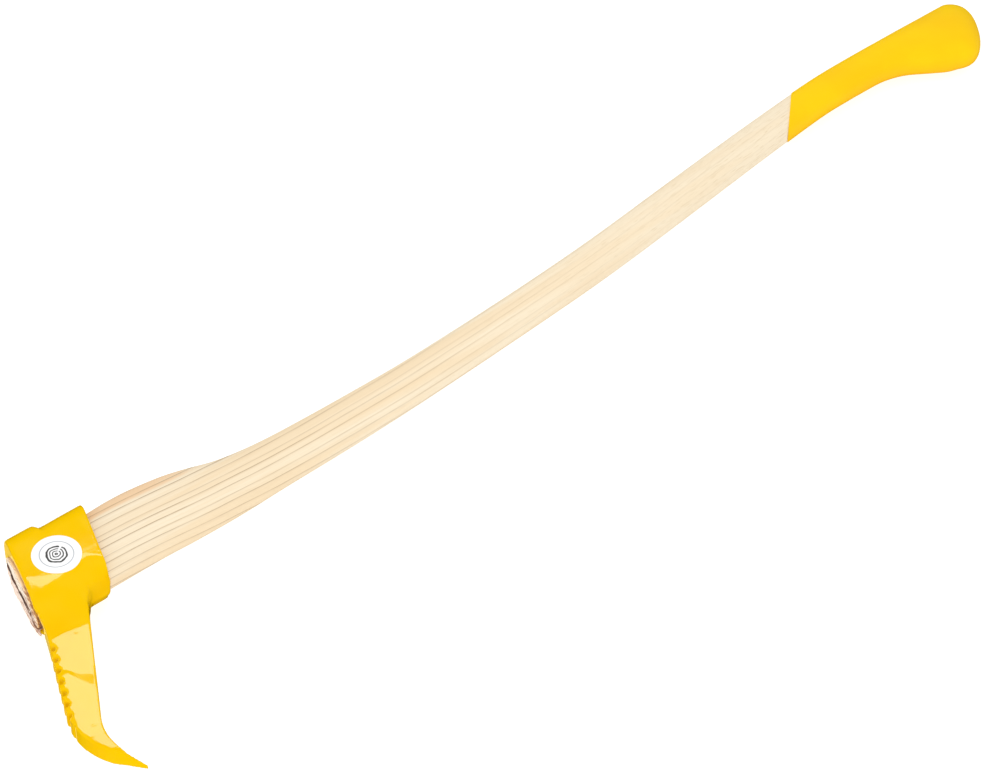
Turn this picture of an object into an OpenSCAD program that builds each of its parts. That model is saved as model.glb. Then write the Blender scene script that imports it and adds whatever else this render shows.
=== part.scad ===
// Log pick (sappie) lying on its side: a forged head with a notched, hooked pick,
// wedged on a long ash handle that ends in a knob dipped in lacquer.
// X runs from the eye of the head towards the knob, the pick points to -Y and the pole to +Y.
// The tool lies on its lower cheek, at Z = 0, and the origin is under the middle of the eye.

/* [Eye] */
// Length of the eye, from pole to pick
eye_l = 70; // [64:1:71]
// Width of the eye, from cheek to cheek
eye_w = 34; // [30:1:38]
// Room between the handle and the wall of the eye
eye_clearance = 0.1; // [0:0.05:0.3]
// Thickness of the cheek walls
cheek_wall = 5.5; // [4:0.5:9]
// Thickness of the wall between the eye and the pick
floor_wall = 3; // [2.5:0.5:6]
// Thickness of the wall at the pole, on the handle's side
pole_wall = 6; // [4:0.5:8]

/* [Boss] */
// Length of the boss along the handle, at the middle of the eye
boss_d = 67; // [56:1:76]
// Lean of the outer face, in degrees
outer_lean = 15.6; // [8:0.2:20]
// Lean of the face on the handle's side, in degrees
rear_lean = 18; // [10:0.2:22]
// Height of the pad on the outer half of the pole
pad_h = 5.5; // [3:0.5:8]
// Distance from the middle of the eye to the edge of the pad
pad_edge = 5; // [0:0.5:12]
// Radius between a cheek and the pole
pole_r = 17; // [10:0.5:20]
// Distance from the middle of the eye to the crease where each cheek starts to slope to the pick
crease_y = 14; // [8:0.5:20]
// Radius of that crease
crease_r = 35; // [10:1:60]
// Slope from the crease down to the pick, in degrees
neck_lean = 14.6; // [12:0.2:20]
// Radius between a cheek and the underside of the boss
under_r = 14; // [10:0.5:18]
// Radius of the boss's lower corner on the handle's side
heel_r = 4; // [2:0.5:12]
// Radius of the boss's lower corner on the outside
toe_r = 12; // [6:0.5:18]

/* [Pick] */
// Distance from the middle of the eye to the point, across the handle
pick_reach = 201; // [180:0.5:225]
// How far the point stands out past the middle of the eye
tip_out = 57; // [46:0.5:66]
// Thickness of the pick below the boss
pick_t = 21; // [17:0.5:25]
// Thickness of the pick where its point begins
pick_end_t = 17; // [12:0.5:20]
// Length of the tapered point
point_l = 24; // [16:1:44]
// Thickness of the point at its end
tip_t = 2.4; // [1:0.2:6]
// How far the hook's back stands out past the point
hook_out = 32; // [28:0.5:36]
// Distance from the point to the bend of the hook's back
back_rise = 52; // [46:0.5:58]
// Radius of the hook's back
back_r = 60; // [40:1:70]
// How far the hook's throat lies out past the point
throat_out = 14.5; // [11:0.5:18]
// Distance from the point to the bend of the throat
throat_rise = 36.5; // [32:0.5:42]
// Radius of the throat
throat_r = 49; // [36:1:60]
// Width of the pick where it leaves the boss
root_w = 41.5; // [38:0.5:44]
// Radius between the boss and the pick's inner edge
root_r = 8; // [3:0.5:10]
// Distance from the underside of the boss up to where the pick's inner edge starts
root_sink = 8.5; // [6:0.5:12]
// How far the pick's back is set in from the outer face, where the neck begins
back_set = 5.5; // [3:0.5:9]
// Radius between the neck's slope and the sides of the pick
neck_r = 20; // [8:1:40]

/* [Notches] */
// Number of notches along the back of the pick
notch_n = 8; // [4:1:9]
// Distance from one notch to the next
notch_pitch = 11.2; // [9:0.1:11.5]
// Distance from the boss to the first notch, along the back
notch_start = 42.5; // [38:0.5:46]
// Radius of a notch
notch_r = 2.7; // [2:0.1:3.4]
// Depth of a notch
notch_depth = 4.2; // [2:0.1:5]

/* [Handle] */
// Distance from the middle of the eye to the end of the knob
handle_reach = 1013; // [900:0.5:1150]
// How far the wood stands out of the eye
stub = 2.5; // [1:0.5:6]
// Length of the swell behind the head
swell_l = 130; // [100:1:160]
// Height of the handle where it leaves the head
swell_h = 71.5; // [71:0.5:78]
// Width of the swell behind the head
swell_w = 35; // [32:0.5:40]
// Height of the handle at its middle
mid_h = 36; // [32:0.5:44]
// Width of the handle at its middle
mid_w = 27.5; // [25:0.5:34]
// Height of the grip
grip_h = 33; // [29:0.5:37]
// Width of the grip
grip_w = 27; // [24:0.5:33]
// Length of the grip, up to the knob
grip_l = 80; // [60:1:120]
// How far the handle bows towards the pick
bow = 10; // [2:0.5:16]
// How far the grip rises towards the pole
rise = 46.5; // [30:0.5:58]
// Squareness of the handle's section, where 2 is a true ellipse
oval_power = 2.3; // [2:0.1:3]

/* [Knob] */
// Height of the knob
knob_h = 73; // [60:1:80]
// Width of the knob
knob_w = 36; // [32:0.5:44]
// Length of the knob's rounded end
knob_end = 25; // [16:0.5:32]
// Slant of the knob's end, in degrees
knob_slant = 31; // [20:1:40]

/* [Wedges] */
// Depth of the saw cut in the end of the handle
kerf_d = 46; // [34:1:54]
// Thickness of the wooden wedge at the outside
wedge_t = 6.5; // [5:0.5:8]
// Thickness of the wooden wedge at its thin edge
wedge_edge_t = 1.8; // [1:0.1:3]
// Width of the steel wedge
steel_w = 24; // [16:1:32]
// Thickness of the steel wedge at the outside
steel_t = 3; // [2:0.25:3.5]
// Depth of the steel wedge in the wooden one
steel_d = 26; // [16:1:28]

/* [Grip coat] */
// Thickness of the lacquer on the grip
coat_t = 0.5; // [0.3:0.1:1.2]
// Distance from the end of the knob to the edge of the coat, at its middle
coat_l = 216; // [150:1:300]
// Slant of the coat's edge, in degrees
coat_slant = 44.5; // [0:0.5:50]

/* [Label] */
// Diameter of the round label on the cheek
label_d = 39.5; // [26:0.5:41]
// Thickness of the label
label_t = 0.2; // [0.1:0.05:0.4]
// Place of the label's middle, along the handle and towards the pole
label_x = -0.2; // [-4:0.1:4]
label_y = 0.6; // [-2:0.1:4]

/* [Hidden] */
$fn = 96;
// Points round the handle, rings from one station to the next, rings of the rounded end
ring_n = 36;
ring_per = 3;
cap_n = 7;
// Squareness of the knob's rounded end, how much less than the knob it slants, and where on a
// quarter turn a small flat closes it
end_power = 2.5;
end_lean = 4;
end_turn = 84;
// Share of the rounded end that reaches past the knob's slanted edge
end_share = 0.55;
// Length of the flare from the grip to the knob, as a share of the knob's height
flare_share = 1.1;
// How far the slope of the pick's neck lies inside the boss's own slope
neck_inset = 0.05;
// Steps of a rounded corner
arc_n = 10;
// Longer than any cut has to be
far = 300;

boss_w = eye_w + 2 * cheek_wall;
half_w = boss_w / 2;
pole_y = eye_l / 2 + pole_wall;
pad_y = pole_y + pad_h;
under_y = -eye_l / 2 - floor_wall;
tenon_l = eye_l - 2 * eye_clearance;
tenon_w = eye_w - 2 * eye_clearance;
// Thickness of the steel wedge at its thin edge
steel_edge_t = 0.6;
// Station of the handle from which the coat is drawn, well before its edge
coat_station = 14;

// X of the outer face, and of the face on the handle's side, at a height y
function outer_x(y) = -boss_d / 2 + y * tan(outer_lean);
function rear_x(y) = boss_d / 2 + y * tan(rear_lean);

function unit(v) = v / norm(v);

// Arc of radius r that rounds the corner b between a and c
function round_corner(a, b, c, r) =
    let (
        u = unit(a - b),
        v = unit(c - b),
        half = acos(u * v) / 2,
        m = b + unit(u + v) * r / sin(half),
        p = b + u * r / tan(half) - m,
        q = b + v * r / tan(half) - m,
        a0 = atan2(p.y, p.x),
        turn = atan2(p.x * q.y - p.y * q.x, p * q)
    )
    [for (i = [0 : arc_n]) m + r * [cos(a0 + turn * i / arc_n), sin(a0 + turn * i / arc_n)]];

// Closed outline whose corners are given as [x, y, radius], with 0 for a sharp one
function rounded(pts) =
    let (n = len(pts), xy = [for (p = pts) [p.x, p.y]])
    [for (i = [0 : n - 1])
        each pts[i][2] == 0 ? [xy[i]] : round_corner(xy[(i + n - 1) % n], xy[i], xy[(i + 1) % n], pts[i][2])];

// Oval section of the handle and the eye, as points round the axis, h high and w wide
function oval(h, w) =
    [for (i = [0 : ring_n - 1])
        let (a = 360 * i / ring_n, c = cos(a), s = sin(a))
        [sign(c) * pow(abs(c), 2 / oval_power) * h / 2, sign(s) * pow(abs(s), 2 / oval_power) * w / 2]];

// Turns an outline drawn in Y and Z into a bar along X, from x0 to x1
module bar(x0, x1) {
    translate([x0, 0, 0])
        rotate([90, 0, 90])
            linear_extrude(x1 - x0)
                children();
}

// Turns an outline drawn in X and Y into a plate as thick as the boss, on both sides of the middle
module plate() {
    translate([0, 0, -half_w])
        linear_extrude(boss_w)
            children();
}

// Everything that lies inwards of the outer face moved out by gap
module inside_outer_face(gap) {
    plate()
        polygon([
            [outer_x(-far) - gap, -far],
            [outer_x(far) - gap, far],
            [handle_reach + far, far],
            [handle_reach + far, -far]
        ]);
}

// Half the thickness that the slope leaves at a height y below the crease
function slope_half(y) = half_w - (-crease_y - y) * tan(neck_lean);

// Boss outline across the handle, with its pole at the height top
module boss_section(top) {
    polygon(rounded([
        [top, half_w, pole_r],
        [-crease_y, half_w, crease_r],
        [under_y, slope_half(under_y), under_r],
        [under_y, -slope_half(under_y), under_r],
        [-crease_y, -half_w, crease_r],
        [top, -half_w, pole_r]
    ]));
}

// Boss seen on its cheek
module boss_side() {
    polygon(rounded([
        [outer_x(pad_y), pad_y, 0],
        [outer_x(under_y), under_y, toe_r],
        [rear_x(under_y), under_y, heel_r],
        [rear_x(pad_y), pad_y, 0]
    ]));
}

module boss() {
    intersection() {
        union() {
            bar(-far, far) boss_section(pole_y);
            bar(-far, pad_edge) boss_section(pad_y);
        }
        plate() boss_side();
    }
}

// Corners of the pick: where its back and its inner edge leave the boss, its bends and its point
tip = [-tip_out, -pick_reach];
back_bend = tip + [-hook_out, back_rise];
throat_bend = tip + [-throat_out, throat_rise];
neck_y = under_y + under_r * (1 - sin(neck_lean));
back_root = [outer_x(neck_y) + back_set, neck_y];
throat_root = [back_root.x + root_w, under_y + root_sink];
back_way = unit(back_bend - back_root);

// Pick seen on the cheek
module pick_side() {
    polygon(rounded([
        [back_root.x, back_root.y, 0],
        [back_bend.x, back_bend.y, back_r],
        [tip.x, tip.y, 0],
        [throat_bend.x, throat_bend.y, throat_r],
        [throat_root.x, throat_root.y, root_r],
        [throat_root.x + root_r, throat_root.y, 0],
        [throat_root.x, neck_y, 0]
    ]));
}

// Half the thickness of the pick along its reach, as corners with their radii
function pick_half() = [
    [neck_y, slope_half(neck_y) - neck_inset, 0],
    [-crease_y - (half_w - pick_t / 2) / tan(neck_lean), pick_t / 2, neck_r],
    [tip.y + point_l, pick_end_t / 2, point_l],
    [tip.y, tip_t / 2, 0]
];

// Pick seen along the handle
module pick_front() {
    upper = pick_half();
    lower = [for (i = [len(upper) - 1 : -1 : 0]) [upper[i].x, -upper[i].y, upper[i].z]];
    polygon(rounded(concat(upper, lower)));
}

module pick() {
    intersection() {
        plate() pick_side();
        bar(-far, far) pick_front();
    }
}

// Place at a distance along the line of the pick's back, and gap outside it
function back_at(along, gap) = back_root + back_way * along + [back_way.y, -back_way.x] * gap;

// Round-bottomed grooves across the back, open to the outside
module notches() {
    for (i = [0 : notch_n - 1])
        translate(back_at(notch_start + i * notch_pitch, notch_r - notch_depth)) {
            cylinder(r = notch_r, h = boss_w, center = true, $fn = 48);
            rotate(atan2(-back_way.x, back_way.y))
                translate([notch_depth / 2, 0, 0])
                    cube([notch_depth, 2 * notch_r, boss_w], center = true);
        }
}

module head() {
    color("gold")
        translate([0, 0, half_w])
            difference() {
                union() {
                    boss();
                    pick();
                }
                bar(-far, far) polygon(oval(eye_l, eye_w));
                notches();
            }
}

// Places along the handle: the end of the swell, the start of the grip and the middle of the knob
knob_x = handle_reach - knob_h / 2 * sin(knob_slant) - knob_end * end_share;
grip_x = knob_x - knob_h * flare_share - grip_l;
swell_x = rear_x(0) + swell_l;
knob_top = rise + grip_h / 2;

// Stations of the handle as [x, y of the middle, height, width, tilt]
function swell_at(share, h, w, down) =
    [rear_x(0) + swell_l * share, -bow * down, mid_h + (swell_h - mid_h) * h, mid_w + (swell_w - mid_w) * w, 0];

function shaft_at(share, h, w, up) =
    [swell_x + (grip_x - swell_x) * share, -bow + (rise + bow) * up, mid_h + h, mid_w + w, 0];

function grip_at(share, down, h) =
    [grip_x + grip_l * share, rise - down, grip_h + h, grip_w, 0];

// A station of the knob, whose top stays level with the grip's
function knob_at(before, h, w, tilt) =
    let (high = grip_h + (knob_h - grip_h) * h)
    [knob_x - knob_h * before, knob_top - high / 2 * cos(tilt), high, grip_w + (knob_w - grip_w) * w, tilt];

handle_stations = [
    [outer_x(under_y) - stub * 2, 0, tenon_l, tenon_w, 0],
    [0, 0, tenon_l, tenon_w, 0],
    [rear_x(0), 0, tenon_l, tenon_w, 0],
    swell_at(0.22, 0.98, 1, -0.1),
    swell_at(0.38, 0.98, 0.95, -0.08),
    swell_at(0.53, 0.95, 0.85, 0.06),
    swell_at(0.68, 0.87, 0.72, 0.24),
    swell_at(0.83, 0.71, 0.58, 0.52),
    swell_at(1, 0.49, 0.42, 0.84),
    shaft_at(0.056, 10.5, 2, 0),
    shaft_at(0.13, 7.5, 1.5, 0),
    shaft_at(0.21, 5, 1, 0.02),
    shaft_at(0.29, 2.5, 0.5, 0.057),
    shaft_at(0.44, 0.5, 0, 0.177),
    shaft_at(0.59, 0, 0, 0.336),
    shaft_at(0.74, -0.5, 0, 0.566),
    shaft_at(0.88, -2, 0, 0.786),
    grip_at(0, 2.6, -0.5),
    grip_at(0.4, 0.5, 0),
    grip_at(0.75, 0, 0.5),
    grip_at(1, 0.2, 1.5),
    knob_at(0.78, 0.16, 0.4, -11),
    knob_at(0.46, 0.51, 0.75, -23),
    knob_at(0.18, 0.84, 1, 4 - knob_slant),
    knob_at(0, 1, 1, -knob_slant)
];

// Smooth curve through the stations, at t counted in stations
function station_at(t) =
    let (
        s = handle_stations,
        n = len(s) - 1,
        i = min(floor(t), n - 1),
        f = t - i,
        a = s[max(i - 1, 0)],
        b = s[i],
        c = s[i + 1],
        d = s[min(i + 2, n)]
    )
    b + f * (c - a) / 2 + f * f * (2 * a - 5 * b + 4 * c - d) / 2 + f * f * f * (3 * b - 3 * c + d - a) / 2;

// Ring of points at a station, grown all round by extra
function ring(s, extra) =
    [for (q = oval(s[2] + 2 * extra, s[3] + 2 * extra))
        [s[0] - q.x * sin(s[4]), s[1] + q.x * cos(s[4]), q.y]];

// Ring of the knob's rounded end, at a share of its length
function cap_ring(share, extra) =
    let (
        s = handle_stations[len(handle_stations) - 1],
        size = pow(1 - pow(share, end_power), 1 / end_power),
        out = (knob_end + extra) * share,
        way = knob_slant - end_lean,
        p = [s[0] + out * cos(way), s[1] - out * sin(way), s[2] * size, s[3] * size, s[4]]
    )
    ring(p, extra * size);

// Solid through the rings, each a list of as many points
module skin(rings) {
    n = len(rings[0]);
    m = len(rings);
    side = [for (j = [0 : m - 2], i = [0 : n - 1])
        let (a = j * n + i, b = j * n + (i + 1) % n)
        each [[a, a + n, b], [b, a + n, b + n]]];
    ends = [
        [for (i = [0 : n - 1]) i],
        [for (i = [n - 1 : -1 : 0]) (m - 1) * n + i]
    ];
    polyhedron(points = [for (r = rings) each r], faces = concat(side, ends));
}

// Handle as a smooth bar from a station to the knob's end, grown all round by extra
module handle_bar(first, extra) {
    last = len(handle_stations) - 1;
    shaft = [for (k = [first * ring_per : last * ring_per]) ring(station_at(k / ring_per), extra)];
    cap = [for (k = [1 : cap_n]) cap_ring(sin(end_turn * k / cap_n), extra)];
    skin(concat(shaft, cap));
}

// Wedge that points along the handle, with its thick end past the outer face
module taper(depth, thick, thin, width) {
    x0 = -boss_d / 2 - stub;
    slope = (thick - thin) / depth;
    x1 = outer_x(-far) - far;
    grown = thick + slope * (x0 - x1);
    rotate([90, 0, 0])
        translate([0, 0, -width / 2])
            linear_extrude(width)
                polygon([[x1, -grown / 2], [x0 + depth, -thin / 2], [x0 + depth, thin / 2], [x1, grown / 2]]);
}

module handle() {
    color("wheat")
        translate([0, 0, half_w])
            difference() {
                intersection() {
                    handle_bar(0, 0);
                    inside_outer_face(stub);
                }
                taper(kerf_d, wedge_t, wedge_edge_t, far);
            }
}

// The saw cut's wedge, as wide as the end of the handle and sawn off level with it
module eye_wedge() {
    color("saddlebrown")
        translate([0, 0, half_w])
            difference() {
                intersection() {
                    taper(kerf_d, wedge_t, wedge_edge_t, far);
                    bar(-far, far) polygon(oval(tenon_l, tenon_w));
                    inside_outer_face(stub);
                }
                taper(steel_d, steel_t, steel_edge_t, steel_w);
            }
}

module steel_wedge() {
    color("dimgray")
        translate([0, 0, half_w])
            intersection() {
                taper(steel_d, steel_t, steel_edge_t, steel_w);
                inside_outer_face(stub);
            }
}

// Everything on the knob's side of the slanted edge of the coat
module past_coat_edge() {
    x = handle_reach - coat_l;
    y = lookup(x, [for (s = handle_stations) [s[0], s[1]]]);
    shift = far * tan(coat_slant);
    plate()
        polygon([
            [x - shift, y - far],
            [handle_reach + far, y - far],
            [handle_reach + far, y + far],
            [x + shift, y + far]
        ]);
}

module grip_coat() {
    color("gold")
        translate([0, 0, half_w])
            intersection() {
                difference() {
                    handle_bar(coat_station, coat_t);
                    handle_bar(coat_station - 1, 0);
                }
                past_coat_edge();
            }
}

// Film that lies on the cheek and follows its slope
module label() {
    color("white")
        translate([0, 0, half_w])
            intersection() {
                translate([label_x, label_y, 0])
                    cylinder(d = label_d, h = boss_w);
                difference() {
                    translate([0, 0, label_t])
                        bar(-boss_d, boss_d) boss_section(pole_y);
                    bar(-far, far) boss_section(pole_y);
                }
            }
}

head();
handle();
eye_wedge();
steel_wedge();
grip_coat();
label();
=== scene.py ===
import math

import bmesh
import bpy
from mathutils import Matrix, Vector, noise
from mathutils.bvhtree import BVHTree


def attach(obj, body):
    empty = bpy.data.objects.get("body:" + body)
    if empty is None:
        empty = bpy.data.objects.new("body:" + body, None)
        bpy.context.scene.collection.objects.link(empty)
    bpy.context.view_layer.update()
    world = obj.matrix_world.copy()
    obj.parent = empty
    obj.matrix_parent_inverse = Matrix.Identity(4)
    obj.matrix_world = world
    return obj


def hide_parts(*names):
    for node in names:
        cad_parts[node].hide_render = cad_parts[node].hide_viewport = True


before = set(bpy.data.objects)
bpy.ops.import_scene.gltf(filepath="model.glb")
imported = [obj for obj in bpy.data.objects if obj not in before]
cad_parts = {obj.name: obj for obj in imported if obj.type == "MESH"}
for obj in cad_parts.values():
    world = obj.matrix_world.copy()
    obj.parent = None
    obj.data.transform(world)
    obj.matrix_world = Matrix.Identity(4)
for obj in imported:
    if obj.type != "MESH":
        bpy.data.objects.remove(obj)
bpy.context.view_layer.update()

print("frame loaded")


# helpers for meshes

def solidCopy(nodeName):
    # the CAD node's triangles, merged into one closed mesh
    bm = bmesh.new()
    bm.from_mesh(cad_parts[nodeName].data)
    bmesh.ops.remove_doubles(bm, verts=bm.verts, dist=1e-6)
    return bm


def foursidedCopy(nodeName):
    # the same with its triangles joined, so that it subdivides evenly
    bm = solidCopy(nodeName)
    bmesh.ops.join_triangles(bm, faces=bm.faces, angle_face_threshold=0.7, angle_shape_threshold=0.7)
    bm.normal_update()
    return bm


def newPiece(name, bm, *materials):
    for face in bm.faces:
        face.smooth = True
    mesh = bpy.data.meshes.new(name)
    bm.to_mesh(mesh)
    bm.free()
    for material in materials:
        mesh.materials.append(material)
    piece = bpy.data.objects.new(name, mesh)
    bpy.context.collection.objects.link(piece)
    return piece


def place(piece, slot, *nodes):
    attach(piece, "root")
    if nodes:
        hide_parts(*nodes)


def castAgain(bm, voxel):
    # one even skin over everything in the mesh, as a coat of paint runs over a forging
    rough = newPiece("casting", bm)
    cast = rough.modifiers.new("cast", "REMESH")
    cast.mode = "VOXEL"
    cast.voxel_size = voxel
    graph = bpy.context.evaluated_depsgraph_get()
    skin = bmesh.new()
    skin.from_mesh(rough.evaluated_get(graph).to_mesh())
    bpy.data.objects.remove(rough)
    return skin


def soften(bm, rounds, where):
    verts = [v for v in bm.verts if where(v.co)]
    for _ in range(rounds):
        bmesh.ops.smooth_vert(bm, verts=verts, factor=0.5, use_axis_x=True, use_axis_y=True, use_axis_z=True)
    bm.normal_update()


def smooth(value, low, high):
    # 0 at low and 1 at high, with soft ends
    share = min(max((value - low) / (high - low), 0), 1)
    return share * share * (3 - 2 * share)


def along(table, value):
    # the rest of a row, read off between the rows of a table
    if value <= table[0][0]:
        return table[0][1:]
    for low, high in zip(table, table[1:]):
        if value <= high[0]:
            share = (value - low[0]) / (high[0] - low[0])
            return tuple(a + (b - a) * share for a, b in zip(low[1:], high[1:]))
    return table[-1][1:]


def offLine(point, line):
    # distance from a line of points, seen from above
    best = 1.0
    for a, b in zip(line, line[1:]):
        way, flat = Vector(b) - Vector(a), point.xy - Vector(a)
        share = min(max(flat.dot(way) / way.length_squared, 0), 1)
        best = min(best, (flat - way * share).length)
    return best


rays = {"count": 8, "sideways": 0.8, "outward": 0.6, "lift": 0.0002}


def markRecess(bm, reach):
    # how hidden each point is by what stands round it, kept on the mesh for the material's painted shade
    recess = bm.verts.layers.float.new("recess")
    surface = BVHTree.FromBMesh(bm)
    for vert in bm.verts:
        side = vert.normal.orthogonal()
        across = vert.normal.cross(side)
        start = vert.co + vert.normal * rays["lift"]
        hits = 0
        for k in range(rays["count"]):
            turn = math.tau * k / rays["count"]
            flat = side * math.cos(turn) + across * math.sin(turn)
            way = flat * rays["sideways"] + vert.normal * rays["outward"]
            hits += surface.ray_cast(start, way, reach)[0] is not None
        vert[recess] = hits / rays["count"]


def keepEdges(bm, sharpDegrees=35):
    # edges that stay crisp when the surface is subdivided
    crease = bm.edges.layers.float.get("crease_edge") or bm.edges.layers.float.new("crease_edge")
    for edge in bm.edges:
        if len(edge.link_faces) == 2 and edge.calc_face_angle(0) > math.radians(sharpDegrees):
            edge[crease] = 1
            edge.smooth = False


def subdivided(piece, levels=2):
    skin = piece.modifiers.new("skin", "SUBSURF")
    skin.levels = skin.render_levels = levels


# helpers for materials

studioLight = 1.14  # how much brighter than its own colour a surface shows in this studio


def rgb(red, green, blue):
    # the colour that shows as this one on screen in the studio's light
    linear = []
    for value in (red / 255, green / 255, blue / 255):
        linear.append(value / 12.92 if value <= 0.04045 else ((value + 0.055) / 1.055) ** 2.4)
    return tuple(c / studioLight for c in linear) + (1,)


def addNode(tree, kind, inputs=None, **settings):
    node = tree.nodes.new(kind)
    for name, value in settings.items():
        setattr(node, name, value)
    for name, value in (inputs or {}).items():
        node.inputs[name].default_value = value
    return node


def joinTo(tree, fromSocket, toSocket):
    tree.links.new(fromSocket, toSocket)


def feed(tree, value, socket):
    # a value that comes from another node is linked, and a plain one is set
    if isinstance(value, bpy.types.NodeSocket):
        joinTo(tree, value, socket)
    else:
        socket.default_value = value


def mixColors(tree, factor, first, second):
    node = addNode(tree, "ShaderNodeMix", data_type="RGBA")
    for number, value in ((0, factor), (6, first), (7, second)):
        feed(tree, value, node.inputs[number])
    return node.outputs[2]


def calculate(tree, operation, first, second=0.0):
    node = addNode(tree, "ShaderNodeMath", operation=operation)
    feed(tree, first, node.inputs[0])
    feed(tree, second, node.inputs[1])
    return node.outputs[0]


def add(tree, first, second):
    return calculate(tree, "ADD", first, second)


def subtract(tree, first, second):
    return calculate(tree, "SUBTRACT", first, second)


def multiply(tree, first, second):
    return calculate(tree, "MULTIPLY", first, second)


def spread(tree, value, fromLow, fromHigh, toLow, toHigh, kind="SMOOTHSTEP"):
    ends = {"From Min": fromLow, "From Max": fromHigh, "To Min": toLow, "To Max": toHigh}
    node = addNode(tree, "ShaderNodeMapRange", ends, interpolation_type=kind)
    joinTo(tree, value, node.inputs["Value"])
    return node.outputs["Result"]


def stretched(tree, vector, scale, turn=(0, 0, 0), shift=(0, 0, 0)):
    node = addNode(tree, "ShaderNodeMapping", {"Scale": scale, "Rotation": turn, "Location": shift})
    joinTo(tree, vector, node.inputs["Vector"])
    return node.outputs["Vector"]


def noiseOn(tree, vector, scale, detail=2.0, roughness=0.5):
    node = addNode(tree, "ShaderNodeTexNoise", {"Scale": scale, "Detail": detail, "Roughness": roughness})
    joinTo(tree, vector, node.inputs["Vector"])
    return node.outputs["Fac"]


def split(tree, vector):
    node = addNode(tree, "ShaderNodeSeparateXYZ")
    joinTo(tree, vector, node.inputs["Vector"])
    return node.outputs


def onMesh(tree, name):
    # a value that the mesh carries at its points
    return addNode(tree, "ShaderNodeAttribute", attribute_name=name).outputs["Fac"]


def newGroup(name, inputs, outputs):
    group = bpy.data.node_groups.new(name, "ShaderNodeTree")
    for title, kind, value in inputs:
        socket = group.interface.new_socket(name=title, in_out="INPUT", socket_type=kind)
        if value is not None:
            socket.default_value = value
    for title in outputs:
        group.interface.new_socket(name=title, in_out="OUTPUT", socket_type="NodeSocketFloat")
    return group, group.nodes.new("NodeGroupInput"), group.nodes.new("NodeGroupOutput")


def placeGroup(tree, group, vector, **values):
    node = addNode(tree, "ShaderNodeGroup", node_tree=group)
    joinTo(tree, vector, node.inputs["Vector"])
    for name, value in values.items():
        node.inputs[name].default_value = value
    return node.outputs


def newMaterial(name, **sockets):
    material = bpy.data.materials.new(name)
    material.use_nodes = True
    tree = material.node_tree
    shader = tree.nodes["Principled BSDF"]
    for title, value in sockets.items():
        shader.inputs[title.replace("_", " ")].default_value = value
    coordinates = addNode(tree, "ShaderNodeTexCoord")
    return material, tree, shader, coordinates.outputs["Object"]


def bumped(tree, shader, height, strength, distance):
    node = addNode(tree, "ShaderNodeBump", {"Strength": strength, "Distance": distance})
    joinTo(tree, height, node.inputs["Height"])
    joinTo(tree, node.outputs["Normal"], shader.inputs["Normal"])


# effects that several materials share

effects = {
    # thick coat: shares of its slow ripple and its fine orange peel, and where the ripple shows as a mottle
    "rippleShare": 0.8, "peelShare": 0.2, "mottleFrom": (0.35, 0.68),
    # rubbed edges: how pointed an edge is that rubs, and what the noise leaves of it
    "edgeFrom": (0.52, 0.6), "rubbedFrom": (0.5, 0.7),
}


def makeCoatGroup():
    # the slow ripple and fine orange peel of a thick coat
    group, start, end = newGroup("thickCoat", (
        ("Vector", "NodeSocketVector", None),
        ("Ripple", "NodeSocketFloat", 60.0),
        ("Peel", "NodeSocketFloat", 900.0),
    ), ("Height", "Mottle"))
    vector = start.outputs["Vector"]
    ripple = addNode(group, "ShaderNodeTexNoise", {"Detail": 2.0, "Roughness": 0.45})
    peel = addNode(group, "ShaderNodeTexNoise", {"Detail": 1.0, "Roughness": 0.4})
    for node, size in ((ripple, "Ripple"), (peel, "Peel")):
        joinTo(group, vector, node.inputs["Vector"])
        joinTo(group, start.outputs[size], node.inputs["Scale"])
    slow = multiply(group, ripple.outputs["Fac"], effects["rippleShare"])
    fine = multiply(group, peel.outputs["Fac"], effects["peelShare"])
    joinTo(group, add(group, slow, fine), end.inputs["Height"])
    joinTo(group, spread(group, ripple.outputs["Fac"], *effects["mottleFrom"], 0, 1), end.inputs["Mottle"])
    return group


def makeWearGroup():
    # where edges rub: the convex edges, broken up
    group, start, end = newGroup("rubbedEdges", (
        ("Vector", "NodeSocketVector", None),
        ("Breakup", "NodeSocketFloat", 220.0),
    ), ("Wear",))
    shape = addNode(group, "ShaderNodeNewGeometry")
    edge = spread(group, shape.outputs["Pointiness"], *effects["edgeFrom"], 0, 1)
    broken = addNode(group, "ShaderNodeTexNoise", {"Detail": 3.0, "Roughness": 0.6})
    joinTo(group, start.outputs["Vector"], broken.inputs["Vector"])
    joinTo(group, start.outputs["Breakup"], broken.inputs["Scale"])
    left = spread(group, broken.outputs["Fac"], *effects["rubbedFrom"], 0, 1)
    joinTo(group, multiply(group, edge, left), end.inputs["Wear"])
    return group


grain = {
    "tilt": math.radians(38),  # so the rings show alike on the cheeks and on the narrow sides
    # how far the grain lies from the middle of the eye, at places along the handle
    "bow": ((0.04, 0.0), (0.14, -0.007), (0.2, -0.01), (0.3, -0.009), (0.354, -0.0068), (0.452, 0.0),
            (0.551, 0.009), (0.649, 0.022), (0.741, 0.0344), (0.82, 0.0439), (0.9, 0.0465)),
    "bowRange": 0.1,  # the curve of the bow reaches half of this to each side
    # features per metre along and across the wood
    "waves": (14, 40, 40), "breaks": (30, 420, 420), "streaks": (7, 620, 620), "pores": (85, 1500, 1500),
    # where the latewood line lies in its ring, how sharp it is and how it shades in from one side
    "lineAt": (0.33, 0.34), "lineEdge": (0.1, 0.62), "shadeWidth": 0.34, "shadeMost": 0.3,
    "weakest": 0.55, "breaksFrom": (0.3, 0.6), "brokenLeast": 0.6,
    "streaksFrom": (0.35, 0.68), "poresFrom": (0.6, 0.7),
}


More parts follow.
